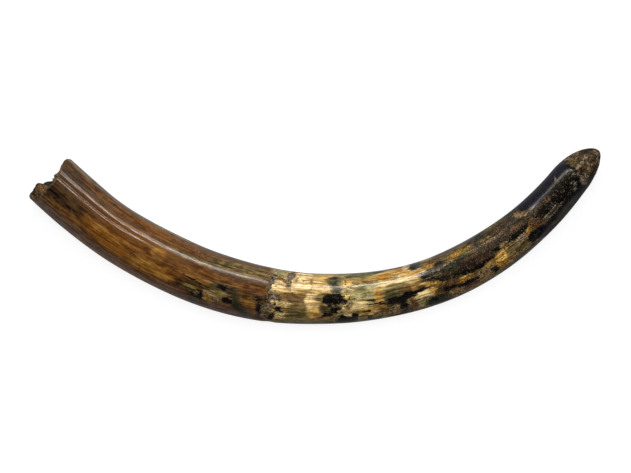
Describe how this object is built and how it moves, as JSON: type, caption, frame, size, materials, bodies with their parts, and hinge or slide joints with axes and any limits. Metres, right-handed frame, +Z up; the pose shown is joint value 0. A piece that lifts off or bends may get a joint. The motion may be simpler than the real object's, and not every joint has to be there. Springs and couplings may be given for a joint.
{
  "type": "mammoth tusk",
  "caption": "Curved, tapering mammoth tusk lying on its side, with a hollow broken root end, raised ribs and a worn, rounded tip.",
  "frame": {"origin": "under the middle of the tusk's box, on the surface that it lies on", "axes": "+X from the broken root end towards the tip, +Y towards the inside of the curve, +Z up"},
  "size_m": [1.0312, 0.3173, 0.1031],
  "materials": {
    "fossil_ivory": "polished, with rough mineral crust in patches"
  },
  "bodies": {
    "root": {"tusk": "fossil_ivory"}
  },
  "joints": []
}
